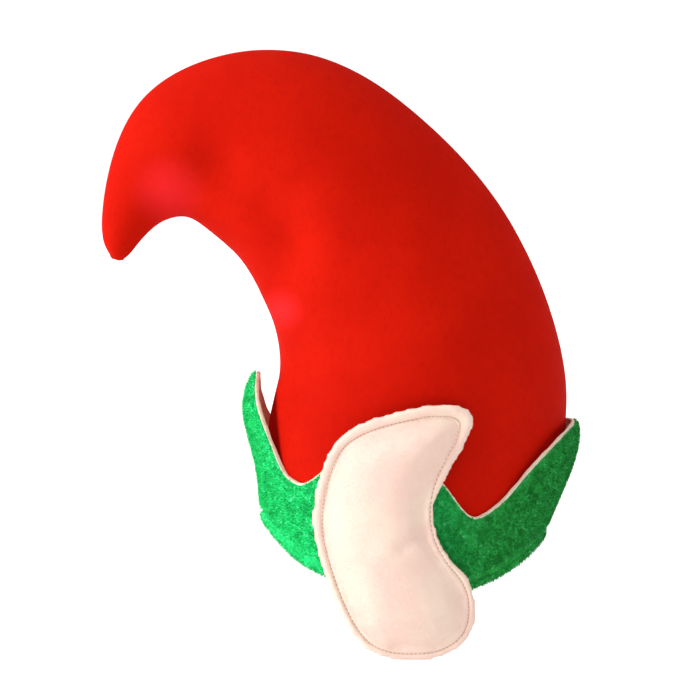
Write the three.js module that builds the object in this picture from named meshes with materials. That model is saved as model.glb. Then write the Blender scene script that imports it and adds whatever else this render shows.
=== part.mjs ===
import * as THREE from 'three';

// An elf hat: a horn-shaped crown of foam-backed velour that curls forward, a green
// cuff with upturned leaf points, and a padded ear sewn on each side. Millimetres,
// +Z up, the face looks toward -Y, and the origin is the middle of the head opening
// at the height of the rim's front.

// Head opening and crown
const headLength = 208;        // inside the rim, front to back
const headWidth = 164;         // inside the rim, side to side
const crownHeight = 360;       // the height that the crown sections' rise is a share of
const peakReach = 232;         // the forward reach that their lean is a share of
const crownWall = 2.5;         // velour with its foam backing
const seamGap = 0.3;           // between the two crown panels along the centre seam
const peakFill = 4;            // cloth gathered inside the very tip

// Rim line
const rimSideDip = 39;         // how far the rim drops at the ears
const rimBackDip = 12.5;       // how far the back of the rim lies below its front

// Cuff
const bandHeight = 54;         // cuff height at the valleys between its points
const frontPointHeight = 114;  // height of each point above the rim below it
const sidePointHeight = 110;
const backPointHeight = 90;
const frontPointLean = 20;     // how far each point stands off the crown
const backPointLean = 10;
const pointStand = 0.8;        // share of its height where a point stands fully off
const pointCup = 0.35;         // share of that lean lost at the edges of a point
const pointHook = 0.25;        // share lost again at its very tip
const backingWall = 2.2;       // foam backing of the cuff
const plushWall = 1.0;         // green plush over the backing
const backingProud = 0.8;      // raw foam edge above the plush
const hemTurn = 13;            // plush turned up inside the rim
const hemStitch = 8;           // height of the hem's stitch line
const hemGroove = 0.5;         // how deep the stitches pull in
const cuffSlack = 0.9;         // between crown and cuff backing
const hemSlack = 1.2;          // between crown and turned-up plush
const layerGap = 0.3;          // between the backing and its plush

// Ears
const earHeight = 187;
const earWidth = 119;
const earDrop = 87;            // lowest point of the ear below the rim's front
const earForward = 69;         // front edge of the ear ahead of the middle of the opening
const earPuff = 11;            // stuffing ahead of the edge seam
const earBackPuff = 4;         // stuffing behind the edge seam
const earRoll = 7;             // width of the rounded edge outside the topstitching
const earRollRise = 3.6;
const earGrooveRise = 1.2;
const earPuffReach = 24;       // distance over which the pad reaches its full thickness
const earBow = 204;            // radius to which the ear bends round the head
const earTilt = 1.8;           // degrees by which its top leans in
const earGap = 0.4;            // between the ear and the cuff that it is sewn to

// Mesh steps
const panelColumns = 18;
const trunkRows = 7;
const hornRows = 18;
const ribRows = 20;
const widestRoll = 0.22;       // most of a short rib that its edge roll may take

const crownLength = headLength + 2 * crownWall;
const crownWidth = headWidth + 2 * crownWall;
const crownToCuff = cuffSlack + backingWall + layerGap + plushWall;
const crownToHem = crownWall + hemSlack + plushWall;
const rollRadius = (crownToCuff + crownToHem) / 2;
const rollCentre = (crownToCuff - crownToHem) / 2;

// Cross-sections of the crown from the rim to the peak. rise, lean, chord and breadth
// are shares of crownHeight, peakReach, crownLength and crownWidth, pitch is the tilt
// of the chord in degrees, and lens is how pointed the section is at its two seams.
const crownSections = [
  { rise: 0.000, lean: -0.012, chord: 1.000, breadth: 1.000, pitch: 0, lens: 0.00 },
  { rise: 0.072, lean: -0.021, chord: 1.032, breadth: 1.010, pitch: 0, lens: 0.03 },
  { rise: 0.147, lean: -0.029, chord: 1.057, breadth: 1.000, pitch: 0, lens: 0.06 },
  { rise: 0.232, lean: -0.045, chord: 1.048, breadth: 0.970, pitch: 0, lens: 0.10 },
  { rise: 0.316, lean: -0.057, chord: 1.004, breadth: 0.925, pitch: 0, lens: 0.16 },
  { rise: 0.398, lean: -0.036, chord: 0.970, breadth: 0.875, pitch: 4, lens: 0.22 },
  { rise: 0.472, lean: 0.002, chord: 0.946, breadth: 0.825, pitch: 8, lens: 0.28 },
  { rise: 0.543, lean: 0.056, chord: 0.918, breadth: 0.770, pitch: 14, lens: 0.32 },
  { rise: 0.623, lean: 0.131, chord: 0.877, breadth: 0.710, pitch: 20, lens: 0.36 },
  { rise: 0.691, lean: 0.230, chord: 0.826, breadth: 0.655, pitch: 29, lens: 0.38 },
  { rise: 0.750, lean: 0.338, chord: 0.781, breadth: 0.605, pitch: 41, lens: 0.40 },
  { rise: 0.793, lean: 0.455, chord: 0.722, breadth: 0.550, pitch: 54, lens: 0.42 },
  { rise: 0.810, lean: 0.576, chord: 0.636, breadth: 0.485, pitch: 67, lens: 0.44 },
  { rise: 0.802, lean: 0.681, chord: 0.552, breadth: 0.425, pitch: 80, lens: 0.46 },
  { rise: 0.777, lean: 0.773, chord: 0.474, breadth: 0.370, pitch: 93, lens: 0.46 },
  { rise: 0.738, lean: 0.843, chord: 0.393, breadth: 0.305, pitch: 103, lens: 0.44 },
  { rise: 0.683, lean: 0.890, chord: 0.286, breadth: 0.225, pitch: 114, lens: 0.40 },
  { rise: 0.629, lean: 0.919, chord: 0.188, breadth: 0.150, pitch: 128, lens: 0.34 },
  { rise: 0.586, lean: 0.934, chord: 0.119, breadth: 0.098, pitch: 146, lens: 0.28 },
  { rise: 0.562, lean: 0.934, chord: 0.067, breadth: 0.058, pitch: 161, lens: 0.22 },
  { rise: 0.547, lean: 0.931, chord: 0.000, breadth: 0.000, pitch: 168, lens: 0.20 },
];
const trunkTop = 4;            // sections up to this one lie level
const peakSection = crownSections.length - 1;

// Soft folds where the crown bends. Each runs from one place to another, given as a
// section number and an angle from the front seam; reach and depth are shares of
// crownWidth.
const crownFolds = [
  { fromSection: 11.6, fromAngle: 70, toSection: 8.4, toAngle: 62, reach: 0.095, depth: 0.030 },
  { fromSection: 8.4, fromAngle: 62, toSection: 6.9, toAngle: 27, reach: 0.070, depth: 0.030 },
  { fromSection: 4.6, fromAngle: 27, toSection: 3.4, toAngle: 38, reach: 0.060, depth: 0.018 },
];

// Half-width of each cuff point at a share of its height above the valley beside it,
// as a share of the angle from its centre line to that valley.
const pointEdges = [
  { up: 0.00, front: 1.00, side: 1.00, back: 1.00 },
  { up: 0.06, front: 0.80, side: 0.89, back: 0.93 },
  { up: 0.20, front: 0.73, side: 0.78, back: 0.83 },
  { up: 0.40, front: 0.68, side: 0.66, back: 0.77 },
  { up: 0.60, front: 0.60, side: 0.52, back: 0.69 },
  { up: 0.78, front: 0.47, side: 0.35, back: 0.58 },
  { up: 0.92, front: 0.27, side: 0.15, back: 0.41 },
  { up: 1.00, front: 0.00, side: 0.00, back: 0.00 },
];

// The four points of the cuff, in degrees round from the front.
const cuffPoints = [
  { edge: 'front', from: -42, centre: 0, to: 42, height: frontPointHeight, lean: frontPointLean },
  { edge: 'side', from: 42, centre: 79, to: 115, height: sidePointHeight, lean: 0 },
  { edge: 'back', from: 115, centre: 180, to: 245, height: backPointHeight, lean: backPointLean },
  { edge: 'side', from: 245, centre: 281, to: 318, height: sidePointHeight, lean: 0 },
];

// Heights of the cuff's mesh rows above its hem, as shares of the way to its edge.
const cuffRows = [0.14, 0.34, 0.56, 0.78, 0.94, 1];

// The ear's outline as ribs from its tip to its lobe. Each rib joins the front edge
// to the back edge; across is a share of earWidth from the front, up of earHeight.
const earRibs = [
  { frontAcross: 0.945, frontUp: 0.978, backAcross: 0.945, backUp: 0.978 },
  { frontAcross: 0.800, frontUp: 0.998, backAcross: 0.985, backUp: 0.922 },
  { frontAcross: 0.650, frontUp: 0.984, backAcross: 0.955, backUp: 0.870 },
  { frontAcross: 0.440, frontUp: 0.952, backAcross: 0.900, backUp: 0.800 },
  { frontAcross: 0.265, frontUp: 0.910, backAcross: 0.830, backUp: 0.725 },
  { frontAcross: 0.130, frontUp: 0.840, backAcross: 0.775, backUp: 0.655 },
  { frontAcross: 0.043, frontUp: 0.710, backAcross: 0.746, backUp: 0.590 },
  { frontAcross: 0.000, frontUp: 0.550, backAcross: 0.748, backUp: 0.520 },
  { frontAcross: 0.025, frontUp: 0.420, backAcross: 0.785, backUp: 0.450 },
  { frontAcross: 0.090, frontUp: 0.295, backAcross: 0.865, backUp: 0.375 },
  { frontAcross: 0.180, frontUp: 0.165, backAcross: 0.960, backUp: 0.310 },
  { frontAcross: 0.285, frontUp: 0.055, backAcross: 1.000, backUp: 0.210 },
  { frontAcross: 0.430, frontUp: 0.010, backAcross: 0.985, backUp: 0.120 },
  { frontAcross: 0.580, frontUp: 0.000, backAcross: 0.925, backUp: 0.055 },
  { frontAcross: 0.780, frontUp: 0.008, backAcross: 0.780, backUp: 0.008 },
];

const radians = THREE.MathUtils.degToRad;
const lerp = THREE.MathUtils.lerp;
const smoothstep = THREE.MathUtils.smoothstep;

// Value of one column of a table at a fractional row, on a smooth curve.
function columnAt(table, column, row) {
  const last = table.length - 1;
  const index = Math.min(Math.floor(row), last - 1);
  const t = row - index;
  const value = (i) => table[Math.max(0, Math.min(last, i))][column];
  const [a, b, c, d] = [value(index - 1), value(index), value(index + 1), value(index + 2)];
  const linear = (c - a) / 2;
  const square = a - 2.5 * b + 2 * c - d / 2;
  const cube = (d - a) / 2 + 1.5 * (b - c);
  return b + t * (linear + t * (square + t * cube));
}

function sectionAt(row) {
  return {
    y: -columnAt(crownSections, 'lean', row) * peakReach,
    z: columnAt(crownSections, 'rise', row) * crownHeight,
    halfChord: Math.max(0, columnAt(crownSections, 'chord', row) * crownLength / 2),
    halfBreadth: Math.max(0, columnAt(crownSections, 'breadth', row) * crownWidth / 2),
    pitch: radians(columnAt(crownSections, 'pitch', row)),
    lens: columnAt(crownSections, 'lens', row),
  };
}

// The level section of the trunk at height z. Below the front of the rim the walls
// carry on in the direction that they have there.
function trunkAt(z) {
  if (z < 0) {
    const [rim, above] = [sectionAt(0), sectionAt(0.1)];
    const along = (key) => rim[key] + (above[key] - rim[key]) * z / above.z;
    return { ...rim, y: along('y'), z, halfChord: along('halfChord'), halfBreadth: along('halfBreadth') };
  }
  let low = 0;
  let high = trunkTop;
  for (let step = 0; step < 24; step += 1) {
    const middle = (low + high) / 2;
    if (sectionAt(middle).z < z) low = middle;
    else high = middle;
  }
  return { ...sectionAt(low), z };
}

function rimHeight(angle) {
  const side = Math.sin(angle) ** 2;
  return -rimSideDip * side - rimBackDip * (1 - Math.cos(angle)) / 2;
}

// A point of a section at an angle from the front seam, with its size taken in.
function sectionPoint(section, angle, inset) {
  const across = Math.sin(angle);
  const shape = lerp(across, across * Math.abs(across), section.lens);
  const along = -Math.cos(angle) * Math.max(0, section.halfChord - inset);
  return new THREE.Vector3(
    shape * Math.max(0, section.halfBreadth - inset),
    section.y + along * Math.cos(section.pitch),
    section.z + along * Math.sin(section.pitch),
  );
}

const foldLines = crownFolds.map((fold) => ({
  line: new THREE.Line3(
    sectionPoint(sectionAt(fold.fromSection), radians(fold.fromAngle), 0),
    sectionPoint(sectionAt(fold.toSection), radians(fold.toAngle), 0),
  ),
  reach: fold.reach * crownWidth,
  depth: fold.depth * crownWidth,
}));

function foldDepth(point) {
  const nearest = new THREE.Vector3();
  let depth = 0;
  for (const fold of foldLines) {
    fold.line.closestPointToPoint(point, true, nearest);
    depth = Math.max(depth, fold.depth * Math.exp(-((point.distanceTo(nearest) / fold.reach) ** 2)));
  }
  return depth;
}

// One closed solid from a grid of outer points and the matching inner points. A ring
// closes on itself along its columns. Points that coincide become one vertex.
function shellGeometry(columns, rows, ring, outerPoint, innerPoint) {
  const positions = [];
  const known = new Map();
  const triangles = [];
  const vertex = (point) => {
    const key = `${point.x.toFixed(4)},${point.y.toFixed(4)},${point.z.toFixed(4)}`;
    if (!known.has(key)) {
      known.set(key, positions.length / 3);
      positions.push(point.x, point.y, point.z);
    }
    return known.get(key);
  };
  const grid = (pointAt) => {
    const vertices = [];
    for (let i = 0; i <= columns; i += 1) {
      const column = ring ? i % columns : i;
      vertices.push(Array.from({ length: rows + 1 }, (_, j) => vertex(pointAt(column, j))));
    }
    return vertices;
  };
  const quad = (a, b, c, d) => {
    for (const [p, q, r] of [[a, b, c], [a, c, d]]) {
      if (p !== q && q !== r && r !== p) triangles.push(p, q, r);
    }
  };
  const outer = grid(outerPoint);
  const inner = grid(innerPoint);
  for (let i = 0; i < columns; i += 1) {
    for (let j = 0; j < rows; j += 1) {
      quad(outer[i][j], outer[i + 1][j], outer[i + 1][j + 1], outer[i][j + 1]);
      quad(inner[i][j], inner[i][j + 1], inner[i + 1][j + 1], inner[i + 1][j]);
    }
    quad(inner[i][0], inner[i + 1][0], outer[i + 1][0], outer[i][0]);
    quad(outer[i][rows], outer[i + 1][rows], inner[i + 1][rows], inner[i][rows]);
  }
  for (let j = 0; j < rows && !ring; j += 1) {
    quad(outer[0][j], outer[0][j + 1], inner[0][j + 1], inner[0][j]);
    quad(inner[columns][j], inner[columns][j + 1], outer[columns][j + 1], outer[columns][j]);
  }
  const geometry = new THREE.BufferGeometry();
  geometry.setAttribute('position', new THREE.Float32BufferAttribute(positions, 3));
  geometry.setIndex(facingOut(positions, triangles));
  geometry.computeVertexNormals();
  return geometry;
}

// The same triangles, turned round if they enclose a negative volume.
function facingOut(positions, triangles) {
  const corner = (index) => new THREE.Vector3().fromArray(positions, index * 3);
  let volume = 0;
  for (let k = 0; k < triangles.length; k += 3) {
    const [a, b, c] = [0, 1, 2].map((n) => corner(triangles[k + n]));
    volume += a.dot(b.cross(c));
  }
  return volume > 0 ? triangles : triangles.slice().reverse();
}

// Half of the crown: side is 1 for the wearer's left, -1 for the right.
function crownPanel(side) {
  const rows = trunkRows + hornRows;
  const trunkTopHeight = sectionAt(trunkTop).z;
  const beforePeak = sectionAt(peakSection - 1);
  const peakCentre = new THREE.Vector3(0, beforePeak.y, beforePeak.z);
  const surfacePoint = (column, row, inset) => {
    const angle = Math.PI * column / panelColumns;
    let section;
    if (row <= trunkRows) {
      const bottom = rimHeight(angle) + rollRadius;
      section = trunkAt(lerp(bottom, trunkTopHeight, row / trunkRows));
    } else {
      section = sectionAt(lerp(trunkTop, peakSection, (row - trunkRows) / hornRows));
    }
    const point = sectionPoint(section, angle, inset);
    if (row === rows && inset > 0) {
      point.addScaledVector(peakCentre.clone().sub(point).normalize(), peakFill);
    }
    point.x -= foldDepth(point) * Math.sin(angle);
    point.x = side * (Math.max(0, point.x) + seamGap / 2);
    return point;
  };
  return shellGeometry(
    panelColumns,
    rows,
    false,
    (column, row) => surfacePoint(column, row, 0),
    (column, row) => surfacePoint(column, row, crownWall),
  );
}

// The cuff's columns, from valley to tip to valley round all four points. base is the
// angle at the rim, edge the angle at the upper edge, top the height of that edge.
function cuffColumns() {
  const columns = [];
  for (const point of cuffPoints) {
    const tipTop = rimHeight(radians(point.centre)) + point.height;
    const half = (valley, rowsOfHalf) => rowsOfHalf.map((row, k) => {
      const valleyTop = rimHeight(radians(valley)) + bandHeight;
      const index = pointEdges.indexOf(row);
      const share = row[point.edge];
      return {
        base: radians(lerp(valley, point.centre, index / (pointEdges.length - 1))),
        edge: radians(lerp(point.centre, valley, share)),
        across: share,
        top: lerp(valleyTop, tipTop, row.up),
        valleyTop,
        tipTop,
        centre: radians(point.centre),
        lean: point.lean,
      };
    });
    columns.push(...half(point.from, pointEdges));
    columns.push(...half(point.to, pointEdges.slice(1, -1).reverse()));
  }
  return columns;
}

// Share of a column's height at a given distance above the rim.
function shareAt(column, height) {
  return height / (column.top - rimHeight(column.base));
}

// A point at a share of the way up a cuff column, and how far it lies outside the
// crown. The points of the cuff lean away from the crown, least at their edges.
function cuffPoint(column, share, out) {
  const angle = lerp(column.base, column.edge, share);
  const z = lerp(rimHeight(column.base), column.top, share);
  const section = trunkAt(z);
  const point = sectionPoint(section, angle, 0);
  const normal = new THREE.Vector3(
    Math.sin(angle) / section.halfBreadth,
    -Math.cos(angle) / section.halfChord,
    0,
  ).normalize();
  point.addScaledVector(normal, out);
  const climb = (z - column.valleyTop) / (column.tipTop - column.valleyTop);
  const spread = 1 - pointCup * lerp(0, column.across, share) ** 2;
  const stand = smoothstep(climb, 0, pointStand) - pointHook * smoothstep(climb, pointStand, 1);
  point.y -= Math.cos(column.centre) * column.lean * spread * stand;
  return point;
}

// The cuff's inner surface, outside the crown: points and normals by column and row.
function cuffSurface() {
  const columns = cuffColumns();
  const heights = (column) => {
    const hem = shareAt(column, hemStitch);
    return [shareAt(column, rollRadius), hem, ...cuffRows.map((share) => lerp(hem, 1, share))];
  };
  const points = columns.map((column) => heights(column).map((share) => cuffPoint(column, share, cuffSlack)));
  const last = cuffRows.length + 1;
  const normals = points.map((ofColumn, i) => ofColumn.map((_, j) => {
    const before = points[(i + points.length - 1) % points.length][j];
    const after = points[(i + 1) % points.length][j];
    const rise = ofColumn[Math.min(j + 1, last)].clone().sub(ofColumn[Math.max(j - 1, 0)]);
    return after.clone().sub(before).cross(rise).normalize();
  }));
  return { columns, points, normals, last };
}

function cuffBacking(surface) {
  const layer = (out) => (i, j) => surface.points[i][j].clone().addScaledVector(surface.normals[i][j], out);
  return shellGeometry(surface.columns.length, surface.last, true, layer(backingWall), layer(0));
}

// The plush runs from inside the rim, round under both layers, and up the outside,
// where it stops short of the backing's raw edge.
function cuffPlush(surface) {
  const rollAngles = [0, 45, 90, 135].map(radians);
  const firstRaised = rollAngles.length + 1;
  const raised = (i, j, out) => surface.points[i][j].clone().addScaledVector(surface.normals[i][j], out);
  const layer = (inset) => (i, row) => {
    const column = surface.columns[i];
    if (row === 0) return cuffPoint(column, shareAt(column, hemTurn), inset - crownToHem);
    if (row < firstRaised) {
      const turn = rollAngles[row - 1];
      const out = rollCentre - cuffSlack - (rollRadius - inset) * Math.cos(turn);
      const point = raised(i, 0, out);
      point.z -= (rollRadius - inset) * Math.sin(turn);
      return point;
    }
    const j = row - firstRaised;
    const groove = j === 1 && inset === 0 ? hemGroove : 0;
    const out = crownToCuff - cuffSlack - inset - groove;
    const point = raised(i, j, out);
    if (j < surface.last) return point;
    const below = raised(i, j - 1, out);
    return point.lerp(below, backingProud / point.distanceTo(below));
  };
  return shellGeometry(surface.columns.length, firstRaised + surface.last, true, layer(0), layer(plushWall));
}

// Outline of the ear in its own plane, across and up from its front bottom corner.
function earEdgePoint(edge, rib) {
  return new THREE.Vector2(
    columnAt(earRibs, `${edge}Across`, rib) * earWidth,
    columnAt(earRibs, `${edge}Up`, rib) * earHeight,
  );
}

function distanceToOutline(point, outline) {
  let distance = Infinity;
  for (let k = 0; k < outline.length; k += 1) {
    const start = outline[k];
    const side = outline[(k + 1) % outline.length].clone().sub(start);
    const share = point.clone().sub(start).dot(side) / Math.max(side.lengthSq(), 1e-9);
    const foot = start.clone().addScaledVector(side, Math.max(0, Math.min(1, share)));
    distance = Math.min(distance, point.distanceTo(foot));
  }
  return distance;
}

// Thickness of the pad on one side of its edge seam: a rounded roll, a stitched
// groove, and then the stuffed middle.
function padRise(distance, puff) {
  if (distance < earRoll) {
    const crest = Math.sqrt(Math.sin(Math.PI * distance / earRoll));
    return Math.max(earRollRise * crest, earGrooveRise * distance / earRoll);
  }
  const fill = Math.min(1, (distance - earRoll) / earPuffReach);
  return lerp(earGrooveRise, puff, Math.sin(fill * Math.PI / 2));
}

function paddedEar(side) {
  const lastRib = earRibs.length - 1;
  const ribAt = (row) => lastRib * row / ribRows;
  const rows = Array.from({ length: ribRows + 1 }, (_, row) => ribAt(row));
  const outline = [
    ...rows.map((rib) => earEdgePoint('front', rib)),
    ...rows.slice(1, -1).reverse().map((rib) => earEdgePoint('back', rib)),
  ];
  const trunk = crownSections.slice(0, trunkTop);
  const widest = sectionAt(trunk.indexOf(trunk.reduce((a, b) => (b.breadth > a.breadth ? b : a))));
  const seat = widest.halfBreadth + crownToCuff + earGap + earBackPuff;
  const columns = 10;
  const beforeLast = columns - 2;
  const planePoint = (column, row) => {
    const front = earEdgePoint('front', rows[row]);
    const back = earEdgePoint('back', rows[row]);
    const roll = Math.min(widestRoll, earRoll / Math.max(front.distanceTo(back), earRoll));
    const edges = [0, roll / 2, roll];
    if (column <= 2) return front.lerp(back, edges[column]);
    if (column >= beforeLast) return front.lerp(back, 1 - edges[columns - column]);
    return front.lerp(back, lerp(roll, 1 - roll, (column - 2) / (beforeLast - 2)));
  };
  const face = (puff, sign) => (column, row) => {
    const flat = planePoint(column, row);
    const onEdge = column === 0 || column === columns || row === 0 || row === ribRows;
    const rise = onEdge ? 0 : padRise(distanceToOutline(flat, outline), puff);
    const y = flat.x - earForward;
    const z = flat.y - earDrop;
    const bow = (y - widest.y) ** 2 / (2 * earBow);
    const tilt = (z - widest.z) * Math.tan(radians(earTilt));
    return new THREE.Vector3(side * (seat - bow - tilt + sign * rise), y, z);
  };
  return shellGeometry(columns, ribRows, false, face(earPuff, 1), face(earBackPuff, -1));
}

function cloth(color, roughness) {
  return new THREE.MeshStandardMaterial({ color, roughness, metalness: 0 });
}

const redVelour = cloth(0xe01505, 0.85);
const greenPlush = cloth(0x17a04a, 0.95);
const creamFoam = cloth(0xf0e2c4, 0.9);
const fleshVelour = cloth(0xf2d8c6, 0.9);

const hat = new THREE.Group();

function addPiece(name, geometry, material) {
  const piece = new THREE.Mesh(geometry, material);
  piece.name = name;
  hat.add(piece);
}

const surface = cuffSurface();
addPiece('crown_left', crownPanel(1), redVelour);
addPiece('crown_right', crownPanel(-1), redVelour);
addPiece('cuff_backing', cuffBacking(surface), creamFoam);
addPiece('cuff', cuffPlush(surface), greenPlush);
addPiece('ear_left', paddedEar(1), fleshVelour);
addPiece('ear_right', paddedEar(-1), fleshVelour);

export default hat;
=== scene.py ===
# An elf hat: a red velour crown that curls forward, a green plush cuff with four leaf
# points on a foam backing, and a padded ear on each side. Metres, in the part's frame.
import math

import bmesh
import bpy
from mathutils import Matrix, Vector
from mathutils.bvhtree import BVHTree
from mathutils.kdtree import KDTree


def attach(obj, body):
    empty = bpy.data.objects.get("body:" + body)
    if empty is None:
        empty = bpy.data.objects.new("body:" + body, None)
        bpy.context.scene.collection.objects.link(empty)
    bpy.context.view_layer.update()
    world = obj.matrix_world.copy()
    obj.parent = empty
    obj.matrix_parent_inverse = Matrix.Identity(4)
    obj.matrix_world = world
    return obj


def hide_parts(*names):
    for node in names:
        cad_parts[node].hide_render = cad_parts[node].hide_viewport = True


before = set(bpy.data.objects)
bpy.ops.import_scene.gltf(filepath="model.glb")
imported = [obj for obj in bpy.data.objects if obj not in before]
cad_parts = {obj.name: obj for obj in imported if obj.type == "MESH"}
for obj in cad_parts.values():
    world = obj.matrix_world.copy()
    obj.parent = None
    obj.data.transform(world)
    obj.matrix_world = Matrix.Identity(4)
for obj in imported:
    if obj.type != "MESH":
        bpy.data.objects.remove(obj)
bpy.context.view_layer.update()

MM = 0.001
MERGE = 0.02 * MM                # corners of the loose triangles nearer than this are one

# Crown
SEAM_HALF_GAP = 0.2 * MM         # how far from the middle the panels' seam edges lie at most
SEAM_WELD = 0.45 * MM            # joins the two panels across their seam gap
SEAM_CREASE = 0.95               # how firmly the centre seam keeps its edge
RIM_TURN = math.radians(60)      # the crown's outside ends where faces turn more than this
SEAM_REACH = 1.3 * MM
SEAM_DEPTH = 0.5 * MM
SEAM_CLEARANCE = 12 * MM         # folds fade out about this near to the centre seam
DEEPEST_FOLD = 3.5 * MM
NAP_HEIGHT = 1.1 * MM            # how far the velour stands off the crown above the cuff
NAP_FROM = 70 * MM
NAP_TO = 130 * MM

# Cuff
CUFF_TUFT = 2.3 * MM
CUFF_TUFT_WIDTH = 0.70 * MM
CUFF_TUFTS_PER_MM2 = 0.98
EAR_CLEARANCE = 3.0 * MM         # no pile is drawn where an ear presses the cuff flat
PILE_SHARE = "pile"              # vertex group that says how thick the pile grows
HEM_HEIGHT = 8 * MM              # of the hem's stitch line above the lower edge
HEM_REACH = 1.9 * MM
HEM_DEPTH = 3.2 * MM
HEM_LINE = 2.8 * MM              # width of the band of plush painted darker, as shade in the hem's groove
# how dark that band is painted: painted shade in the hem's groove
HEM_PAINTED_SHADE = 0.35
HEM_CLEARANCE = 4.0              # how many times wider the pile stays off the groove
EDGE_REACH = 5 * MM              # the plush thins out this near to the cuff's cut edge
FOAM_PROUD = 0.7 * MM            # how far the raw foam swells past the plush
PLUSH_BODY = 1.0 * MM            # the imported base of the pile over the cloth
EDGE_STEPS = 6                   # places kept along each step of the cut edge
EDGE_TURN = math.radians(50)     # the foam's square edges turn more than this
EDGE_CREASE = 0.8
EDGE_ROUNDING = 2 * MM
RIM_SIDE_DIP = 39 * MM           # how far the lower edge drops at the ears
RIM_BACK_DIP = 12.5 * MM
RIM_HALF_LENGTH = 109 * MM
RIM_HALF_WIDTH = 87 * MM

# Locks of pile
TUFT_RAISE = 0.42                # share of a lock's length that its middle stands off
TUFT_BEND = 0.25                 # share of its length that its tip leans by
TUFT_TILT = 0.35                 # the most that a lock leans from upright, in radians
TUFT_SIZES = (0.6, 1.15)

# Ears
EAR_VOXEL = 2.2 * MM
EAR_SLIM = 2.2 * MM              # taken off the pad before it swells
EAR_PRESSURE = 4.0
EAR_SWELL = 3.0 * MM             # the most that a point of the pad may move
HELD_REACH = 1.2 * MM            # how near the topstitching the pad is held
RIM_REACH = 5 * MM
RIM_SWELL = 3.0 * MM             # cord-like fullness of the edge outside the topstitching
RIM_EASING = 20                  # rounds of smoothing along the ear's edge
GROOVE_REACH = 1.2 * MM
GROOVE_DEPTH = 1.3 * MM
EAR_TUFT = 0.8 * MM
EAR_TUFT_WIDTH = 0.32 * MM
EAR_TUFTS_PER_MM2 = 0.85
INFLATE_FRAMES = 20
STITCH_LENGTH = 2.4 * MM
STITCH_PITCH = 3.2 * MM
LONGEST_STEP = 2.5 * STITCH_PITCH    # no stitch bridges a wider gap than this
THREAD_RADIUS = 0.26 * MM
THREAD_RAISE = 0.4               # how far the thread lies off the cloth, in radii
RAY_START = 0.3                  # metres to the side, well clear of the ears
SEAM_STEPS = 4                   # places kept along each stitch of the topstitching
LINE_ROUNDING = 10               # how often the line's corners are eased

# Camera and room
CAMERA_ELEVATION = math.radians(6)
CAMERA_DISTANCE = 2.0
CAMERA_LENS = 136.2
CAMERA_TARGET = Vector((0, -0.0415, 0.129))
FLOOR_HEIGHT = -0.5
FLOOR_RADIUS = 12.0
GLOW_FROM = 1.05                 # the floor brightens between these distances
GLOW_TO = 1.6
GLOW_STRENGTH = 0.7
HORIZON_LOW = 0.07               # heights in the sky's unit sphere
HORIZON_HIGH = 0.16
TOP_LOW = 0.25
TOP_HIGH = 0.9
SKY_SPREAD = 0.7
SKY_TOP = 1.05
SKY_FRONT = 0.22
SKY_BACK = 0.04
KEY_PLACE = Vector((0.58, -1.92, 1.0))
KEY_AIM = Vector((0, -0.03, 0.13))
KEY_SIZE = 1.2
KEY_POWER = 39

# Soft folds of the crown as it is seen from the side: the points that a fold runs
# through, ahead of the middle and above the rim, with its reach and depth, in
# millimetres. A negative depth raises a ridge.
CROWN_FOLDS = [
    {"path": [(-141, 300), (-137, 268), (-140, 236)], "reach": 20, "depth": 1.5},
    {"path": [(-120, 268), (-106, 246)], "reach": 12, "depth": -1.1},
    {"path": [(-112, 246), (-84, 218), (-101, 182)], "reach": 15, "depth": 1.6},
    {"path": [(-182, 232), (-176, 252), (-168, 276)], "reach": 16, "depth": -1.4},
    {"path": [(-54, 266), (-54, 215), (-60, 160)], "reach": 22, "depth": -2.0},
    {"path": [(-93, 172), (-88, 144)], "reach": 9, "depth": -0.9},
    {"path": [(-73, 132), (-71, 102)], "reach": 12, "depth": 1.1},
    {"path": [(18, 262), (52, 190), (66, 110)], "reach": 26, "depth": 1.4},
    {"path": [(-102, 98), (-98, 42)], "reach": 3.8, "depth": 3.0},
    {"path": [(-96, 104), (-90, 36)], "reach": 3.4, "depth": -1.4},
]

# Places of the side view where a pinker highlight is painted into the velour's colour:
# ahead of the middle, above the rim and reach, in millimetres.
PAINTED_HIGHLIGHT_PLACES = [(-176, 250, 34), (-92, 162, 20)]

# Where the sewn cuff and the crown under it settle together: places in the side view,
# how far the cloth moves there and over what reach, all in millimetres.
SETTLING = [
    {"at": (-84, -26), "reach": (24, 26), "axis": "Z", "move": -5.0},
    {"at": (122, -12), "reach": (34, 24), "axis": "Y", "move": -6.0},
]

# Soft creases of an ear's outer side, as the crown's folds are given.
EAR_CREASES = [
    {"path": [(22, 12), (4, 1), (-8, -8)], "reach": 5.5, "depth": 1.3},
    {"path": [(38, 72), (30, 52), (22, 30)], "reach": 6, "depth": 0.9},
    {"path": [(-30, 6), (-12, 14)], "reach": 7, "depth": 0.5},
]

# Width of the ear's edge roll at places on its outline, ahead of the middle and above
# the rim, in millimetres.
EAR_ROLLS = [
    {"at": (45, 96), "width": 9.0},
    {"at": (-10, 92), "width": 7.6},
    {"at": (-62, 40), "width": 7.2},
    {"at": (-66, 0), "width": 6.6},
    {"at": (-40, -60), "width": 5.4},
    {"at": (5, -84), "width": 4.0},
    {"at": (45, -55), "width": 4.4},
    {"at": (22, 12), "width": 3.4},
    {"at": (34, 58), "width": 6.8},
]


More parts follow.
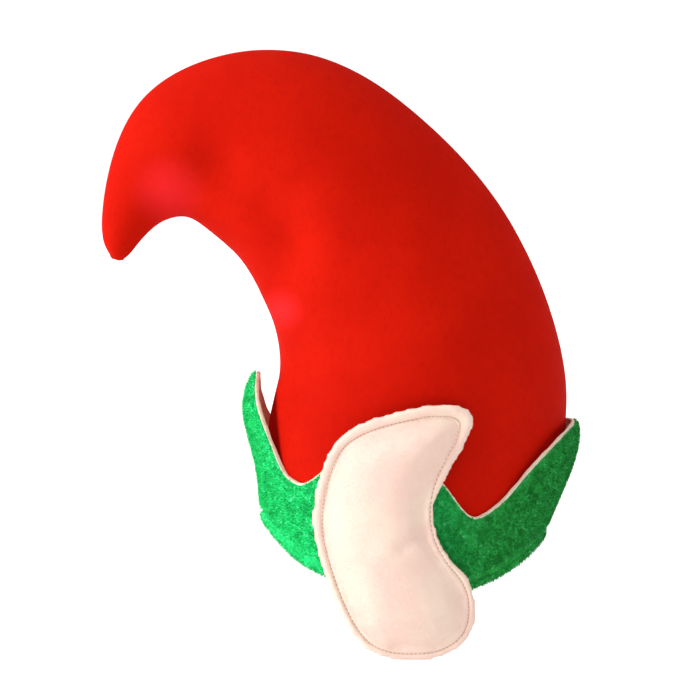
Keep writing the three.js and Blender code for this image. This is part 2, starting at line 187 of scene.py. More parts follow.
class Wire:
    """A node's output, with arithmetic that adds Math nodes."""

    def __init__(self, finish, socket):
        self.finish = finish
        self.socket = socket

    def maths(self, operation, first, second):
        return self.finish.node("ShaderNodeMath", {"operation": operation}, {0: first, 1: second})

    def __add__(self, other):
        return self.maths("ADD", self, other)

    def __radd__(self, other):
        return self.maths("ADD", other, self)

    def __sub__(self, other):
        return self.maths("SUBTRACT", self, other)

    def __rsub__(self, other):
        return self.maths("SUBTRACT", other, self)

    def __mul__(self, other):
        return self.maths("MULTIPLY", self, other)

    def __rmul__(self, other):
        return self.maths("MULTIPLY", other, self)


class Finish:
    """One material and the nodes that it is made of."""

    def __init__(self, name):
        self.material = bpy.data.materials.new(name)
        self.material.use_nodes = True
        self.tree = self.material.node_tree
        self.surface = self.tree.nodes["Principled BSDF"]
        self.place = self.node("ShaderNodeTexCoord", output="Object")

    def node(self, kind, settings=None, sockets=None, output=0):
        """Adds a node: its settings first, then its sockets. Gives one output."""
        made = self.tree.nodes.new(kind)
        for name, value in (settings or {}).items():
            setattr(made, name, value)
        for name, value in (sockets or {}).items():
            self.feed(made.inputs[name], value)
        return Wire(self, made.outputs[output])

    def feed(self, socket, value):
        if isinstance(value, Wire):
            self.tree.links.new(value.socket, socket)
        else:
            socket.default_value = value

    def noise(self, size, detail=2, roughness=0.5, place=None, distortion=0.0):
        """Soft noise whose grains are about this size, in metres."""
        sockets = {
            "Vector": place or self.place,
            "Scale": 1 / size,
            "Detail": detail,
            "Roughness": roughness,
            "Distortion": distortion,
        }
        return self.node("ShaderNodeTexNoise", {"normalize": True}, sockets, "Fac")

    def axis(self, name):
        """One of the Object coordinates."""
        return self.node("ShaderNodeSeparateXYZ", {}, {"Vector": self.place}, name)

    def vector_maths(self, operation, sockets, output="Vector"):
        return self.node("ShaderNodeVectorMath", {"operation": operation}, sockets, output)

    def stretched(self, factors):
        """Object coordinates scaled along each axis, for grain that runs one way."""
        return self.vector_maths("MULTIPLY", {0: self.place, 1: factors})

    def between(self, wire, low, high):
        """0 below low and 1 above high, smooth between them."""
        settings = {"interpolation_type": "SMOOTHSTEP"}
        sockets = {"Value": wire, "From Min": low, "From Max": high}
        return self.node("ShaderNodeMapRange", settings, sockets, "Result")

    def near(self, y, z, reach):
        """1 at a place of the side view and 0 beyond its reach, all in millimetres."""
        apart = self.vector_maths("SUBTRACT", {0: self.place, 1: (0, y * MM, z * MM)})
        flat = self.vector_maths("MULTIPLY", {0: apart, 1: (0, 1, 1)})
        far = self.vector_maths("LENGTH", {0: flat}, "Value")
        return 1 - self.between(far, 0, reach * MM)

    def mix(self, factor, first, second, blend="MIX"):
        settings = {"data_type": "RGBA", "blend_type": blend}
        return self.node("ShaderNodeMix", settings, {0: factor, 6: first, 7: second}, 2)

    def bump(self, height, depth, strength=1.0):
        return self.node(
            "ShaderNodeBump", {}, {"Height": height, "Distance": depth, "Strength": strength}, "Normal"
        )

    def set(self, **sockets):
        """Sets the surface's own sockets. An underscore in a name stands for a space."""
        for name, value in sockets.items():
            self.feed(self.surface.inputs[name.replace("_", " ")], value)
        return self.material


def linear(red, green, blue):
    """An sRGB colour from 0 to 255 as a scene colour."""
    def channel(value):
        share = value / 255
        if share <= 0.04045:
            return share / 12.92
        return ((share + 0.055) / 1.055) ** 2.4
    return (channel(red), channel(green), channel(blue), 1.0)


def red_velour():
    finish = Finish("red_velour")
    drift = finish.noise(60 * MM, 3)
    nap = finish.noise(5 * MM, 3, 0.6, distortion=0.6)
    pile = finish.noise(0.9 * MM, 2, 0.7)
    brushed = finish.noise(2.2 * MM, 2, 0.6, finish.stretched((1, 1, 0.35)))
    colour = finish.mix(finish.between(drift, 0.3, 0.7), linear(190, 16, 0), linear(200, 20, 1))
    colour = finish.mix(0.35 * finish.between(nap, 0.42, 0.75), colour, linear(174, 12, 0))
    colour = finish.mix(0.25 * finish.between(pile, 0.50, 0.85), colour, linear(216, 30, 8))
    # Painted highlight: near each of these places the velour is painted a lighter, pinker red.
    for y, z, reach in PAINTED_HIGHLIGHT_PLACES:
        colour = finish.mix(0.7 * finish.near(y, z, reach), colour, linear(238, 38, 42))
    height = 0.5 * nap + 0.3 * brushed + 0.25 * pile
    return finish.set(
        Base_Color=colour,
        Roughness=0.72 + 0.16 * pile,
        Normal=finish.bump(height, 0.5 * MM, 0.5),
        Specular_IOR_Level=0.05,
        Sheen_Weight=0.08,
        Sheen_Roughness=0.35,
        Sheen_Tint=linear(255, 40, 70),
    )


def green_plush(name, shade):
    """The cuff's plush, painted lighter toward the front as if lit and darker toward the rear as if
    shaded; its colours are then multiplied by a shade, which paints shade where it is below 1.
    """
    finish = Finish(name)
    clumps = finish.noise(7 * MM, 3, 0.65, distortion=0.8)
    flecks = finish.noise(2.4 * MM, 2, 0.6)
    fibre = finish.noise(0.8 * MM, 2, 0.7)
    # Painted light and shade: toward the front, which faces the key light, each colour is painted
    # lighter and bluer, as lit with sheen; toward the rear it is painted darker, as in shade.
    lit_front_shaded_rear = finish.between(finish.axis("Y"), -60 * MM, 70 * MM)
    deep = finish.mix(lit_front_shaded_rear, linear(8, 184, 92), linear(14, 126, 36))
    fresh = finish.mix(lit_front_shaded_rear, linear(20, 222, 124), linear(34, 164, 64))
    colour = finish.mix(finish.between(clumps, 0.35, 0.65), deep, fresh)
    light = finish.between(flecks, 0.54, 0.70) * finish.between(clumps, 0.4, 0.6)
    pale = finish.mix(lit_front_shaded_rear, linear(130, 248, 196), linear(104, 196, 136))
    colour = finish.mix(0.7 * light, colour, pale)
    dark = finish.mix(lit_front_shaded_rear, linear(3, 136, 54), linear(4, 84, 16))
    colour = finish.mix(0.5 * finish.between(flecks, 0.40, 0.26), colour, dark)
    colour = finish.mix(0.3 * finish.between(fibre, 0.55, 0.8), colour, pale)
    # Painted shade: every colour is multiplied by the shade, which darkens the copy used in the hem's
    # groove.
    colour = finish.mix(1.0, colour, (shade, shade, shade, 1), "MULTIPLY")
    return finish.set(
        Base_Color=colour,
        Roughness=0.8 + 0.12 * fibre,
        Normal=finish.bump(0.6 * flecks + 0.4 * fibre, 0.8 * MM, 0.6),
        Specular_IOR_Level=0.2,
        Sheen_Weight=0.3,
        Sheen_Roughness=0.45,
        Sheen_Tint=linear(120, 240, 190),
    )


def cream_foam():
    finish = Finish("cream_foam")
    shade = finish.noise(14 * MM, 3)
    pores = finish.noise(0.7 * MM, 2, 0.6)
    colour = finish.mix(finish.between(shade, 0.3, 0.7), linear(238, 224, 196), linear(247, 238, 216))
    colour = finish.mix(0.6 * finish.between(pores, 0.44, 0.30), colour, linear(196, 170, 132))
    return finish.set(
        Base_Color=colour,
        Roughness=0.9,
        Normal=finish.bump(pores, 0.35 * MM, 0.7),
        Specular_IOR_Level=0.2,
    )


def flesh_velour():
    finish = Finish("flesh_velour")
    drift = finish.noise(38 * MM, 3)
    nap = finish.noise(6 * MM, 3, 0.6, distortion=0.5)
    pile = finish.noise(0.8 * MM, 2, 0.7)
    colour = finish.mix(finish.between(drift, 0.32, 0.68), linear(244, 210, 196), linear(247, 222, 204))
    colour = finish.mix(0.35 * finish.between(nap, 0.5, 0.75), colour, linear(243, 209, 195))
    colour = finish.mix(0.3 * finish.between(pile, 0.5, 0.8), colour, linear(254, 238, 226))
    return finish.set(
        Base_Color=colour,
        Roughness=0.8 + 0.1 * pile,
        Normal=finish.bump(0.5 * nap + 0.4 * pile, 0.45 * MM, 0.5),
        Specular_IOR_Level=0.25,
        Sheen_Weight=0.15,
        Sheen_Roughness=0.45,
        Sheen_Tint=linear(255, 240, 230),
    )


def sewing_thread():
    finish = Finish("sewing_thread")
    twist = finish.noise(0.5 * MM, 2)
    colour = finish.mix(finish.between(twist, 0.3, 0.7), linear(164, 118, 92), linear(200, 156, 130))
    return finish.set(Base_Color=colour, Roughness=0.7, Normal=finish.bump(twist, 0.1 * MM, 0.6))


def select_only(piece):
    bpy.ops.object.select_all(action="DESELECT")
    bpy.context.view_layer.objects.active = piece
    piece.select_set(True)


def edit(piece, wanted=None, corners=False):
    """Opens a piece for editing with the faces, or corners, that pass a test selected."""
    select_only(piece)
    bpy.ops.object.mode_set(mode="EDIT")
    bpy.ops.mesh.select_mode(type="VERT" if corners else "FACE")
    bpy.ops.mesh.select_all(action="DESELECT" if wanted else "SELECT")
    if wanted:
        bpy.ops.object.mode_set(mode="OBJECT")
        for part in piece.data.vertices if corners else piece.data.polygons:
            part.select = wanted(part)
        bpy.ops.object.mode_set(mode="EDIT")


def done():
    bpy.ops.object.mode_set(mode="OBJECT")


def apply_modifier(piece, kind, **settings):
    modifier = piece.modifiers.new(kind.lower(), kind)
    for name, value in settings.items():
        setattr(modifier, name, value)
    select_only(piece)
    bpy.ops.object.modifier_apply(modifier=modifier.name)


def subdivide(piece, levels):
    apply_modifier(piece, "SUBSURF", levels=levels, render_levels=levels)


def copy_of(name, *nodes):
    """The solids of these nodes as one new piece, with their loose triangles merged."""
    copies = []
    for node in nodes:
        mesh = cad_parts[node].data.copy()
        mesh.materials.clear()
        copies.append(bpy.data.objects.new(name, mesh))
        bpy.context.scene.collection.objects.link(copies[-1])
    piece = copies[0]
    select_only(piece)
    for other in copies[1:]:
        other.select_set(True)
    if len(copies) > 1:
        bpy.ops.object.join()
    piece.name = name
    edit(piece)
    bpy.ops.mesh.remove_doubles(threshold=MERGE)
    bpy.ops.mesh.tris_convert_to_quads()
    done()
    return piece


def weigh(piece, name, weight):
    """Writes a vertex group of the corners whose weight isn't nothing."""
    group = piece.vertex_groups.new(name=name)
    for vertex in piece.data.vertices:
        share = weight(vertex)
        if share > 0.002:
            group.add([vertex.index], share, "REPLACE")
    return name


def press(piece, weight, depth):
    """Pushes the surface in by depth times a weight from 0 to 1 at each corner."""
    name = weigh(piece, "press", weight)
    apply_modifier(
        piece, "DISPLACE", strength=-depth, mid_level=0, direction="NORMAL", vertex_group=name
    )
    piece.vertex_groups.clear()


def distance_to_path(y, z, path):
    """Distance in the side view from a place to a line through the path's points."""
    nearest = math.inf
    for (y1, z1), (y2, z2) in zip(path, path[1:]):
        span = (y2 - y1) ** 2 + (z2 - z1) ** 2
        share = ((y - y1) * (y2 - y1) + (z - z1) * (z2 - z1)) / span
        share = min(1, max(0, share))
        nearest = min(nearest, math.hypot(y - y1 - share * (y2 - y1), z - z1 - share * (z2 - z1)))
    return nearest


def soft_edge(distance, reach):
    return math.exp(-((distance / reach) ** 2))


def fold_shape(fold):
    """How much a corner takes part in a fold: a soft brush drawn along its path."""
    reach = fold["reach"] * MM
    path = [Vector(place) * MM for place in fold["path"]]
    marks = []
    for start, end in zip(path, path[1:]):
        span = (end - start).length
        count = max(2, round(2 * span / reach))
        strength = span / count / (reach * math.sqrt(math.pi))
        marks += [(start.lerp(end, (step + 0.5) / count), strength) for step in range(count)]

    def share(corner):
        place = corner.co.yz
        total = 0.0
        for mark, strength in marks:
            apart = (place - mark).length
            if apart < 3 * reach:
                total += strength * soft_edge(apart, reach)
        return total

    return share


def off_seam(corner):
    return 1 - soft_edge(corner.co.x, SEAM_CLEARANCE)


def press_folds(piece, folds, share):
    """Presses all folds at once. The share also says which way a corner's cloth moves."""
    shapes = [(fold_shape(fold), fold["depth"] * MM) for fold in folds]
    depths = []
    for corner in piece.data.vertices:
        part = share(corner)
        depths.append(part * sum(depth * shape(corner) for shape, depth in shapes) if part else 0.0)
    for way in (1, -1):
        press(
            piece, lambda corner: min(1, way * depths[corner.index] / DEEPEST_FOLD), way * DEEPEST_FOLD
        )


def settle(piece):
    """Moves the cloth of the crown, the cuff and its backing by the same amounts."""
    for change in SETTLING:
        y, z = (value * MM for value in change["at"])
        along, up = (value * MM for value in change["reach"])
        group = weigh(
            piece, "settle",
            lambda corner: soft_edge(corner.co.y - y, along) * soft_edge(corner.co.z - z, up),
        )
        apply_modifier(
            piece, "DISPLACE", strength=change["move"] * MM, mid_level=0,
            direction=change["axis"], vertex_group=group,
        )
        piece.vertex_groups.clear()


def finish_piece(piece, slot, material, *nodes):
    piece.data.materials.append(material)
    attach(piece, "root")
    if nodes:
        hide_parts(*nodes)
    return piece


def smooth(piece, degrees=60):
    select_only(piece)
    bpy.ops.object.shade_smooth_by_angle(angle=math.radians(degrees))


def make_crown(red, foam):
    piece = copy_of("crown", "crown_left", "crown_right")
    edit(piece, lambda face: abs(face.center.x) < SEAM_HALF_GAP and abs(face.normal.x) > 0.9)
    bpy.ops.mesh.delete(type="FACE")
    done()
    edit(piece, lambda corner: abs(corner.co.x) < SEAM_HALF_GAP, corners=True)
    bpy.ops.mesh.remove_doubles(threshold=SEAM_WELD)
    bpy.ops.transform.edge_crease(value=SEAM_CREASE)
    done()
    mark_lining(piece)
    edit(piece)
    bpy.ops.mesh.subdivide(number_cuts=1, smoothness=1)
    done()
    subdivide(piece, 1)
    edit(piece, lambda face: face.material_index == 0)
    bpy.ops.mesh.subdivide(number_cuts=1, smoothness=1)
    done()
    outer = [face for face in piece.data.polygons if face.material_index == 0]
    outside = {index for face in outer for index in face.vertices}

    def outward(corner):
        return 1 if corner.index in outside else -1

    def nap(corner):
        rise = (corner.co.z - NAP_FROM) / (NAP_TO - NAP_FROM)
        return min(1, max(0, rise)) if outward(corner) > 0 else 0.0

    press(piece, nap, -NAP_HEIGHT)
    press_folds(piece, CROWN_FOLDS, lambda corner: outward(corner) * off_seam(corner))
    settle(piece)
    press(piece, lambda corner: max(0, outward(corner)) * soft_edge(corner.co.x, SEAM_REACH), SEAM_DEPTH)
    smooth(piece)
    finish_piece(piece, "red_velour", red, "crown_left", "crown_right")
    piece.data.materials.append(foam)
    return piece


def mark_lining(piece):
    """Gives the second material to the faces that aren't on the outside of the crown."""
    across = sorted(piece.data.polygons, key=lambda face: face.center.x)
    widest = (across[0].index, across[-1].index)
    edit(piece, lambda face: face.index in widest)
    bpy.ops.mesh.faces_select_linked_flat(sharpness=RIM_TURN)
    done()
    for face in piece.data.polygons:
        face.material_index = 0 if face.select else 1


def above_rim(place):
    """Height of a place of the cuff above the rim line below it."""
    angle = math.atan2(place.x / RIM_HALF_WIDTH, -place.y / RIM_HALF_LENGTH)
    rim = -RIM_SIDE_DIP * math.sin(angle) ** 2 - RIM_BACK_DIP * (1 - math.cos(angle)) / 2
    return place.z - rim


def facing_out(corner):
    """1 where a corner of the cuff faces away from the head, and 0 where it faces it."""
    away = Vector((corner.co.x, corner.co.y, 0)).normalized()
    return min(1, max(0, 0.5 + 2 * corner.normal.dot(away)))


def near_hem(face):
    return abs(above_rim(face.center) - HEM_HEIGHT) < 2 * HEM_REACH


def make_cuff(green, hem_painted_shade_plush, foam):
    backing = copy_of("cuff_foam", "cuff_backing")
    edge = cut_edge(backing)
    subdivide(backing, 2)
    press(backing, lambda corner: soft_edge(edge.find(corner.co)[2], EDGE_ROUNDING), -FOAM_PROUD)
    settle(backing)
    smooth(backing, 40)
    finish_piece(backing, "cream_foam", foam, "cuff_backing")

    cuff = copy_of("cuff_plush", "cuff")
    subdivide(cuff, 2)

    def hem(corner):
        return facing_out(corner) * soft_edge(above_rim(corner.co) - HEM_HEIGHT, HEM_REACH)

    def body(corner):
        return facing_out(corner) * (1 - soft_edge(edge.find(corner.co)[2], EDGE_REACH))

    press(cuff, body, -PLUSH_BODY)
    edit(cuff, lambda face: near_hem(face) and face.normal.dot(face.center) > 0)
    bpy.ops.mesh.subdivide(number_cuts=2, smoothness=0)
    done()
    press(cuff, hem, HEM_DEPTH)
    share = [
        facing_out(corner) * max(0, 1 - HEM_CLEARANCE * hem(corner)) for corner in cuff.data.vertices
    ]
    # Outside faces along the hem's stitch line take the second material, the plush painted darker as
    # shade in the groove.
    for face in cuff.data.polygons:
        from_line = abs(above_rim(face.center) - HEM_HEIGHT)
        outside = facing_out(cuff.data.vertices[face.vertices[0]]) > 0.5
        face.material_index = 1 if outside and from_line < HEM_LINE / 2 else 0
    settle(cuff)
    weigh(cuff, PILE_SHARE, lambda corner: share[corner.index])
    smooth(cuff)
    finish_piece(cuff, "green_plush", green, "cuff")
    cuff.data.materials.append(hem_painted_shade_plush)
    return cuff


def cut_edge(piece):
    """Creases the square edges of the foam, and gives the places of its upper ones."""
    select_only(piece)
    bpy.ops.object.mode_set(mode="EDIT")
    bpy.ops.mesh.select_mode(type="EDGE")
    bpy.ops.mesh.select_all(action="DESELECT")
    bpy.ops.mesh.edges_select_sharp(sharpness=EDGE_TURN)
    bpy.ops.transform.edge_crease(value=EDGE_CREASE)
    bpy.ops.object.mode_set(mode="OBJECT")
    upper = [
        edge for edge in piece.data.edges
        if edge.select and above_rim(piece.data.vertices[edge.vertices[0]].co) > 2 * HEM_HEIGHT
    ]
    places = KDTree(EDGE_STEPS * len(upper))
    for number, edge in enumerate(upper):
        start, end = (piece.data.vertices[index].co for index in edge.vertices)
        for step in range(EDGE_STEPS):
            places.insert(start.lerp(end, step / EDGE_STEPS), number * EDGE_STEPS + step)
    places.balance()
    return places


def tuft(name, length, width):
    """One lock of pile: a thin closed spike that leans a little."""
    bpy.ops.mesh.primitive_cone_add(vertices=3, radius1=width / 2, radius2=0, depth=length)
    lock = bpy.context.object
    lock.name = name
    edit(lock)
    bpy.ops.transform.translate(value=(0, 0, TUFT_RAISE * length))
    done()
    edit(lock, lambda corner: corner.co.z > length / 2, corners=True)
    bpy.ops.transform.translate(value=(TUFT_BEND * length, 0, 0))
    done()
    return lock


def pile(name, base, lock, per_mm2, seed, keep_clear=None, clearance=0.0):
    """Covers a piece with copies of one lock, as a mesh of its own."""
    piece = bpy.data.objects.new(name, base.data.copy())
    bpy.context.scene.collection.objects.link(piece)
    tree = bpy.data.node_groups.new(name, "GeometryNodeTree")
    tree.interface.new_socket("Geometry", in_out="INPUT", socket_type="NodeSocketGeometry")
    tree.interface.new_socket("Geometry", in_out="OUTPUT", socket_type="NodeSocketGeometry")

    def node(kind, settings=None, sockets=None):
        made = tree.nodes.new(kind)
        for key, value in (settings or {}).items():
            setattr(made, key, value)
        for key, value in (sockets or {}).items():
            if isinstance(value, bpy.types.NodeSocket):
                tree.links.new(value, made.inputs[key])
            else:
                made.inputs[key].default_value = value
        return made

    surface = node("NodeGroupInput").outputs[0]
    share = node("GeometryNodeInputNamedAttribute", {"data_type": "FLOAT"}, {"Name": PILE_SHARE})
    density = node(
        "ShaderNodeMath", {"operation": "MULTIPLY"},
        {0: share.outputs["Attribute"], 1: per_mm2 / MM ** 2},
    )
    spread = node(
        "GeometryNodeDistributePointsOnFaces", {},
        {"Mesh": surface, "Density": density.outputs[0], "Seed": seed},
    )
    points = spread.outputs["Points"]
    turn = spread.outputs["Rotation"]
    for other in keep_clear or []:
        source = node("GeometryNodeObjectInfo", {"transform_space": "ORIGINAL"}, {"Object": other})
        near = node(
            "GeometryNodeProximity", {"target_element": "FACES"}, {0: source.outputs["Geometry"]}
        )
        close = node(
            "FunctionNodeCompare", {"operation": "LESS_THAN"},
            {0: near.outputs["Distance"], 1: clearance},
        )
        points = node(
            "GeometryNodeDeleteGeometry", {"domain": "POINT"},
            {"Geometry": points, "Selection": close.outputs[0]},
        ).outputs[0]
    spin = node(
        "FunctionNodeRandomValue", {"data_type": "FLOAT_VECTOR"},
        {
            0: (-TUFT_TILT, -TUFT_TILT, -math.pi),
            1: (TUFT_TILT, TUFT_TILT, math.pi),
            "Seed": seed + 1,
        },
    )
    tilted = node(
        "FunctionNodeRotateRotation", {"rotation_space": "LOCAL"},
        {0: turn, 1: spin.outputs[0]},
    )
    size = node(
        "FunctionNodeRandomValue", {"data_type": "FLOAT"},
        {2: TUFT_SIZES[0], 3: TUFT_SIZES[1], "Seed": seed + 2},
    )
    shape = node("GeometryNodeObjectInfo", {}, {"Object": lock})
    copies = node(
        "GeometryNodeInstanceOnPoints", {},
        {
            "Points": points,
            "Instance": shape.outputs["Geometry"],
            "Rotation": tilted.outputs[0],
            "Scale": size.outputs[1],
        },
    )
    real = node("GeometryNodeRealizeInstances", {}, {0: copies.outputs[0]})
    node("NodeGroupOutput", {}, {0: real.outputs[0]})
    apply_modifier(piece, "NODES", node_group=tree)
    piece.data.materials.clear()
    return piece


def make_ear(side, flesh):
    name = "ear_left" if side > 0 else "ear_right"
    piece = copy_of(name + "_pad", name)
    outline = ear_outline(piece)
    line = topstitch_line(outline)
    seam = seam_tree(line)

    def rim(corner):
        return soft_edge(edge_distance((corner.co.y, corner.co.z), outline)[0], RIM_REACH)

    apply_modifier(piece, "REMESH", mode="VOXEL", voxel_size=EAR_VOXEL)
    apply_modifier(piece, "SMOOTH", factor=0.5, iterations=5)
    press(piece, lambda corner: 1 - rim(corner), EAR_SLIM)
    press(piece, rim, -RIM_SWELL)
    apply_modifier(piece, "SMOOTH", factor=0.5, iterations=3)
    inflate(piece, seam, outline)
    apply_modifier(piece, "SMOOTH", factor=0.5, iterations=7)
    subdivide(piece, 1)
    apply_modifier(
        piece, "SMOOTH", factor=0.5, iterations=RIM_EASING, vertex_group=weigh(piece, "rim", rim)
    )
    piece.vertex_groups.clear()
    press_folds(piece, EAR_CREASES, lambda corner: max(0, side * corner.normal.x))
    edit(piece, lambda face: from_seam(face.center, seam) < 3 * GROOVE_REACH)
    bpy.ops.mesh.subdivide(number_cuts=1, smoothness=0)
    done()

    def groove(corner):
        return soft_edge(from_seam(corner.co, seam), GROOVE_REACH)

    press(piece, groove, GROOVE_DEPTH)
    weigh(piece, PILE_SHARE, lambda corner: 1 - 0.8 * groove(corner))
    smooth(piece, 80)
    finish_piece(piece, "flesh_velour", flesh, name)
    return piece, line


def seam_tree(line):
    """The topstitching's line in the side view, ready for measuring how far off a place is."""
    tree = KDTree(SEAM_STEPS * len(line))
    for number, (start, end) in enumerate(zip(line, line[1:] + line[:1])):
        for step in range(SEAM_STEPS):
            tree.insert((0, *start.lerp(end, step / SEAM_STEPS)), number * SEAM_STEPS + step)
    tree.balance()
    return tree


def from_seam(place, seam):
    return seam.find((0, place.y, place.z))[2]


def make_stitches(name, pad, line, side, thread):
    """A row of thread stitches lying in the groove on the outer side of an ear."""
    tree = BVHTree.FromPolygons(
        [corner.co for corner in pad.data.vertices], [face.vertices for face in pad.data.polygons]
    )
    bpy.ops.mesh.primitive_uv_sphere_add(segments=6, ring_count=5, radius=THREAD_RADIUS)
    stitch = bpy.context.object
    edit(stitch)
    bpy.ops.transform.resize(value=(1, STITCH_LENGTH / THREAD_RADIUS / 2, 1))
    done()
    places = []
    for place in line:
        hit = tree.ray_cast(Vector((RAY_START * side, *place)), Vector((-side, 0, 0)))
        if hit[0] is not None:
            places.append(hit[0] + hit[1] * THREAD_RAISE * THREAD_RADIUS)
    row = []
    for here, beyond in zip(places, places[1:] + places[:1]):
        along = beyond - here
        if along.length > LONGEST_STEP:
            continue
        copy = bpy.data.objects.new(name, stitch.data.copy())
        bpy.context.scene.collection.objects.link(copy)
        turn = along.to_track_quat("Y", "X").to_matrix().to_4x4()
        copy.data.transform(Matrix.Translation(here) @ turn)
        row.append(copy)
    bpy.data.objects.remove(stitch)
    select_only(row[0])
    for copy in row[1:]:
        copy.select_set(True)
    bpy.ops.object.join()
    row[0].name = name
    smooth(row[0])
    return finish_piece(row[0], "flesh_velour", thread)


def topstitch_line(outline):
    """Places along the groove inside the outline, one stitch apart."""
    count = len(outline)
    edges = zip(outline, outline[1:] + outline[:1])
    hand = 1 if sum(y1 * z2 - y2 * z1 for (y1, z1), (y2, z2) in edges) > 0 else -1
    places = []
    spare = 0.0
    for index in range(count):
        y1, z1 = outline[index]
        y2, z2 = outline[(index + 1) % count]
        span = math.hypot(y2 - y1, z2 - z1)
        while spare < span:
            y = y1 + (y2 - y1) * spare / span
            z = z1 + (z2 - z1) * spare / span
            width = edge_distance((y, z), outline)[1]
            place = (y - hand * (z2 - z1) / span * width, z + hand * (y2 - y1) / span * width)
            if edge_distance(place, outline)[0] > 0.9 * width:
                places.append(Vector(place))
            spare += STITCH_PITCH
        spare -= span
    for _ in range(LINE_ROUNDING):
        places = [
            (before + 2 * place + after) / 4
            for before, place, after in zip(places[-1:] + places, places, places[1:] + places[:1])
        ]
    return places


def ear_outline(piece):
    """The ear's edge seam in the side view, in order round the ear."""
    mesh = bmesh.new()
    mesh.from_mesh(piece.data)
    mesh.normal_update()
    seam = [
        edge for edge in mesh.edges
        if len(edge.link_faces) == 2
        and edge.link_faces[0].normal.x * edge.link_faces[1].normal.x < 0
    ]
    nearest = {}
    for edge in seam:
        for vertex in edge.verts:
            nearest.setdefault(vertex.index, []).append(edge.other_vert(vertex))
    start = seam[0].verts[0]
    loop = [start]
    previous = None
    while True:
        options = [v for v in nearest[loop[-1].index] if v is not previous]
        previous = loop[-1]
        if not options or options[0] is start:
            break
        loop.append(options[0])
        if len(loop) > len(seam) + 1:
            break
    places = [(vertex.co.y, vertex.co.z) for vertex in loop]
    mesh.free()
    return places


def edge_distance(place, outline):
    """How far a place lies inside the ear's outline, and how wide its roll is there."""
    y, z = place
    distance = distance_to_path(y, z, outline + outline[:1])
    total = 0.0
    width = 0.0
    for roll in EAR_ROLLS:
        apart = math.hypot(y - roll["at"][0] * MM, z - roll["at"][1] * MM)
        share = 1 / max(apart, 1 * MM) ** 3
        total += share
        width += share * roll["width"] * MM
    return distance, width / total


def inflate(piece, seam, outline):
    """Stuffs the pad: cloth under pressure, held along its topstitching and outside it."""
    before = [vertex.co.copy() for vertex in piece.data.vertices]

    def held(corner):
        inside, width = edge_distance((corner.co.y, corner.co.z), outline)
        return 1.0 if inside < width or from_seam(corner.co, seam) < HELD_REACH else 0.0

    pins = weigh(piece, "pins", held)
    cloth = piece.modifiers.new("cloth", "CLOTH")
    cloth.settings.quality = 6
    cloth.settings.mass = 0.2
    cloth.settings.tension_stiffness = 15
    cloth.settings.compression_stiffness = 15
    cloth.settings.bending_stiffness = 0.6
    cloth.settings.use_pressure = True
    cloth.settings.uniform_pressure_force = EAR_PRESSURE
    cloth.settings.effector_weights.gravity = 0
    cloth.settings.vertex_group_mass = pins
    cloth.point_cache.frame_start = 1
    cloth.point_cache.frame_end = INFLATE_FRAMES
    for step in range(1, INFLATE_FRAMES + 1):
        bpy.context.scene.frame_set(step)
    settled = piece.evaluated_get(bpy.context.evaluated_depsgraph_get())
    after = [vertex.co.copy() for vertex in settled.data.vertices]
    piece.modifiers.remove(cloth)
    piece.vertex_groups.clear()
    bpy.context.scene.frame_set(1)
    for vertex, start, end in zip(piece.data.vertices, before, after):
        move = end - start
        if move.length > EAR_SWELL:
            move = move.normalized() * EAR_SWELL
        vertex.co = start + move


def add_key_light():
    data = bpy.data.lights.new("key", "AREA")
    data.shape = "DISK"
    data.size = KEY_SIZE
    data.energy = KEY_POWER
    light = bpy.data.objects.new("key", data)
    bpy.context.scene.collection.objects.link(light)
    light.location = KEY_PLACE
    light.rotation_euler = (KEY_AIM - KEY_PLACE).to_track_quat("-Z", "Y").to_euler()


def make_room():
    bpy.ops.mesh.primitive_circle_add(
        vertices=96, radius=FLOOR_RADIUS, fill_type="NGON", location=(0, 0, FLOOR_HEIGHT)
    )
    floor = bpy.context.object
    floor.name = "floor"
    floor.data.materials.append(pale_floor())
    world = bpy.data.worlds.new("studio")
    bpy.context.scene.world = world
    world.use_nodes = True
    light_sky(world.node_tree)
    add_key_light()


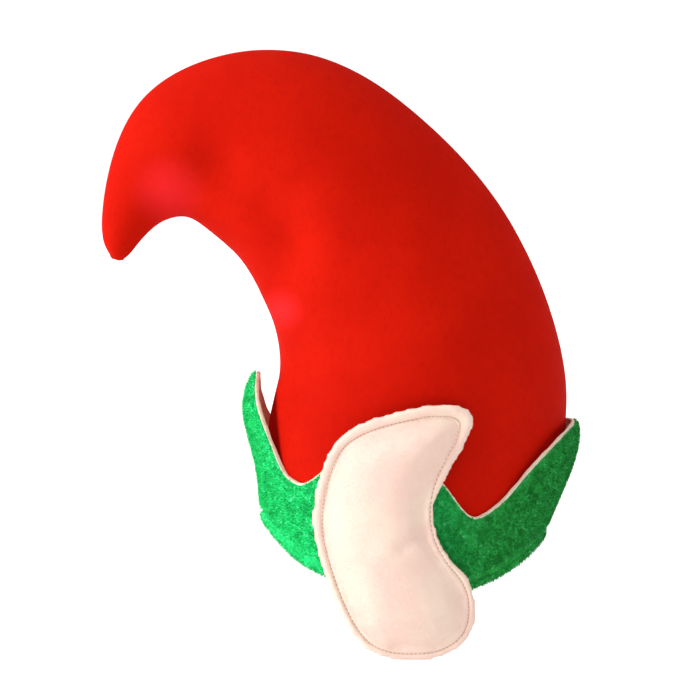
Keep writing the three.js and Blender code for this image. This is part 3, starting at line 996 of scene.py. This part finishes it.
def light_sky(tree):
    """Soft light from above and in front, and a white band where the sky meets the floor."""
    place = tree.nodes.new("ShaderNodeTexCoord")
    axes = tree.nodes.new("ShaderNodeSeparateXYZ")
    tree.links.new(place.outputs["Generated"], axes.inputs["Vector"])
    ramps = [
        ("Z", HORIZON_LOW, HORIZON_HIGH, 1.0, 0.0),
        ("Z", TOP_LOW, TOP_HIGH, 0.0, SKY_TOP),
        ("Y", -SKY_SPREAD, SKY_SPREAD, SKY_FRONT, SKY_BACK),
    ]
    strength = None
    for axis, *values in ramps:
        ramp = tree.nodes.new("ShaderNodeMapRange")
        ramp.interpolation_type = "SMOOTHSTEP"
        for name, value in zip(("From Min", "From Max", "To Min", "To Max"), values):
            ramp.inputs[name].default_value = value
        tree.links.new(axes.outputs[axis], ramp.inputs["Value"])
        total = tree.nodes.new("ShaderNodeMath")
        tree.links.new(ramp.outputs["Result"], total.inputs[0])
        total.inputs[1].default_value = 0
        if strength:
            tree.links.new(strength, total.inputs[1])
        strength = total.outputs["Value"]
    background = tree.nodes["Background"]
    background.inputs["Color"].default_value = (1, 1, 1, 1)
    tree.links.new(strength, background.inputs["Strength"])


def pale_floor():
    """A matt sweep that is lit from behind further out."""
    finish = Finish("pale_floor")
    grain = finish.noise(40 * MM, 2)
    colour = finish.mix(grain, linear(240, 240, 240), linear(246, 246, 246))
    out = finish.vector_maths("LENGTH", {0: finish.place}, "Value")
    glow = finish.between(out, GLOW_FROM, GLOW_TO)
    light = finish.mix(glow, (0, 0, 0, 1), (1, 1, 1, 1))
    return finish.set(
        Base_Color=colour, Roughness=0.9, Emission_Color=light, Emission_Strength=GLOW_STRENGTH
    )


def make_camera():
    data = bpy.data.cameras.new("camera")
    data.lens = CAMERA_LENS
    data.sensor_width = 36
    camera = bpy.data.objects.new("camera", data)
    bpy.context.scene.collection.objects.link(camera)
    away = Vector((math.cos(CAMERA_ELEVATION), 0, math.sin(CAMERA_ELEVATION)))
    camera.location = CAMERA_TARGET + away * CAMERA_DISTANCE
    camera.rotation_euler = (-away).to_track_quat("-Z", "Y").to_euler()
    bpy.context.scene.camera = camera


make_camera()
make_room()
bpy.context.scene.view_settings.view_transform = "Standard"

red = red_velour()
green = green_plush("green_plush", 1.0)
# The hem's groove gets a copy of the plush painted darker, as shade.
hem_painted_shade_plush = green_plush("green_hem", HEM_PAINTED_SHADE)
foam = cream_foam()
flesh = flesh_velour()
thread = sewing_thread()

make_crown(red, foam)
cuff = make_cuff(green, hem_painted_shade_plush, foam)
ears = []
for side in (1, -1):
    pad, line = make_ear(side, flesh)
    ears.append(pad)
    make_stitches(pad.name.replace("pad", "stitches"), pad, line, side, thread)

lock = tuft("cuff_lock", CUFF_TUFT, CUFF_TUFT_WIDTH)
cuff_pile = pile("cuff_pile", cuff, lock, CUFF_TUFTS_PER_MM2, 11, ears, EAR_CLEARANCE)
finish_piece(cuff_pile, "green_plush", green)
hair = tuft("ear_lock", EAR_TUFT, EAR_TUFT_WIDTH)
for seed, pad in enumerate(ears, 21):
    name = pad.name.replace("pad", "pile")
    finish_piece(pile(name, pad, hair, EAR_TUFTS_PER_MM2, seed), "flesh_velour", flesh)
for spare in (lock, hair):
    bpy.data.objects.remove(spare)
